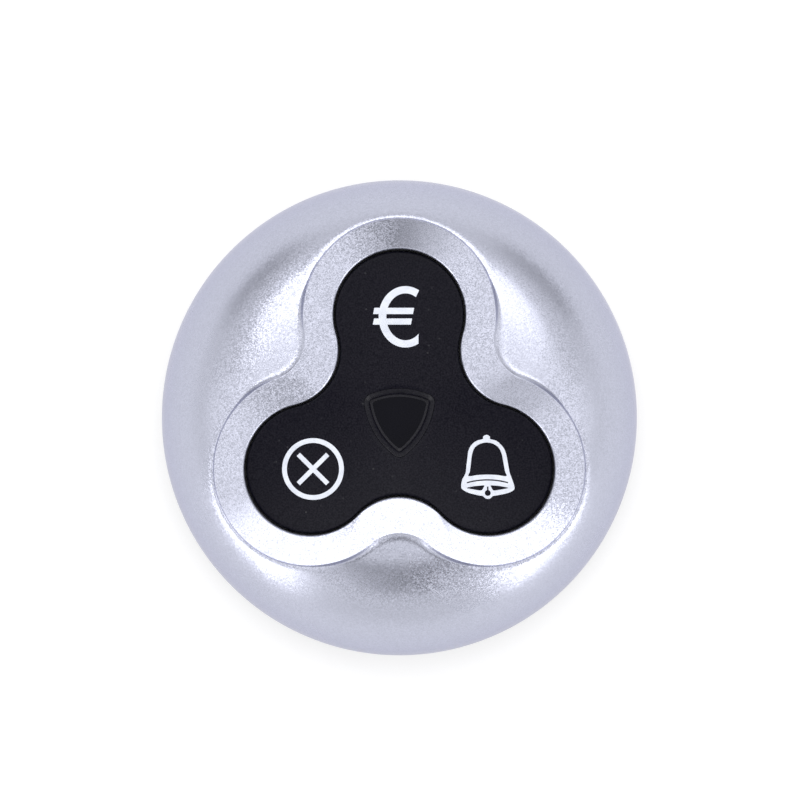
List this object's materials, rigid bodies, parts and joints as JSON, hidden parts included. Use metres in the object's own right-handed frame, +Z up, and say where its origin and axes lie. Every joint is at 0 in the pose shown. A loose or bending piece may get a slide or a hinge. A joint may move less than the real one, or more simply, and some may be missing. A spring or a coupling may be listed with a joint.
{
  "type": "waiter call button",
  "caption": "Round table-top call button with a silver domed shell, a sunken black lobed keypad with bill, cancel and call keys, radio board, battery and twist-off base.",
  "frame": {"origin": "centre of the bottom face, which rests on the table", "axes": "+Z up through the keypad, +Y toward the bill key, +X toward the right as seen from above"},
  "size_m": [0.06, 0.06, 0.022],
  "materials": {
    "silver_paint": "satin silver metallic paint over moulded plastic",
    "black_rubber": "smooth black silicone with a fine dull grain",
    "inner_plastic": "black moulded plastic",
    "smoke_lens": "near black smoked window",
    "board": "green solder mask",
    "led_resin": "milky resin",
    "sheet_steel": "bright tinned sheet",
    "tinned_wire": "tinned",
    "stem_plastic": "black moulded plastic",
    "chip_plastic": "moulded black resin",
    "resistor_body": "glazed ceramic",
    "capacitor_body": "tan ceramic",
    "copper_wire": "enamelled copper",
    "battery_sleeve": "printed foil sleeve",
    "spring_wire": "nickel plated",
    "screw_steel": "black oxide",
    "base_plastic": "fine spark texture",
    "seal_rubber": "dull",
    "pad_foam": "white foam tape"
  },
  "bodies": {
    "base": {"base_cover": "base_plastic", "seal_ring": "seal_rubber", "adhesive_pad": "pad_foam"},
    "unit": {"top_shell": "silver_paint", "keypad_web": "black_rubber", "keypad_frame": "inner_plastic", "status_lens": "smoke_lens", "circuit_board": "board", "status_led": "led_resin", "switch_bodies": "inner_plastic", "switch_covers": "sheet_steel", "switch_legs": "tinned_wire", "encoder_chip": "chip_plastic", "chip_leads": "tinned_wire", "saw_resonator": "sheet_steel", "rf_transistor": "chip_plastic", "chip_resistors": "resistor_body", "chip_capacitors": "capacitor_body", "antenna_coil": "copper_wire", "battery": "battery_sleeve", "battery_cap": "sheet_steel", "battery_spring": "spring_wire", "battery_contacts": "spring_wire", "chassis": "inner_plastic", "chassis_screws": "screw_steel"},
    "bill_key": {"bill_key": "black_rubber"},
    "bill_stem": {"bill_stem": "stem_plastic"},
    "cancel_key": {"cancel_key": "black_rubber"},
    "cancel_stem": {"cancel_stem": "stem_plastic"},
    "call_key": {"call_key": "black_rubber"},
    "call_stem": {"call_stem": "stem_plastic"}
  },
  "joints": [
    {"name": "unit_twist", "type": "hinge", "parent": "base", "child": "unit", "pos_m": [0, 0, 0.003], "axis": [0, 0, 1], "range_deg": [0, 18]},
    {"name": "bill_press", "type": "slide", "parent": "unit", "child": "bill_key", "axis": [0, 0, -1], "range_m": [0, 0.00028], "stiffness_N_per_m": 300},
    {"name": "bill_click", "type": "slide", "parent": "unit", "child": "bill_stem", "axis": [0, 0, -1], "range_m": [0, 0.00035], "stiffness_N_per_m": 20},
    {"name": "cancel_press", "type": "slide", "parent": "unit", "child": "cancel_key", "axis": [0, 0, -1], "range_m": [0, 0.00028], "stiffness_N_per_m": 300},
    {"name": "cancel_click", "type": "slide", "parent": "unit", "child": "cancel_stem", "axis": [0, 0, -1], "range_m": [0, 0.00035], "stiffness_N_per_m": 20},
    {"name": "call_press", "type": "slide", "parent": "unit", "child": "call_key", "axis": [0, 0, -1], "range_m": [0, 0.00028], "stiffness_N_per_m": 300},
    {"name": "call_click", "type": "slide", "parent": "unit", "child": "call_stem", "axis": [0, 0, -1], "range_m": [0, 0.00035], "stiffness_N_per_m": 20}
  ],
  "couplings": [
    {"joint": "bill_click", "follows": "bill_press", "ratio": 1},
    {"joint": "cancel_click", "follows": "cancel_press", "ratio": 1},
    {"joint": "call_click", "follows": "call_press", "ratio": 1}
  ]
}
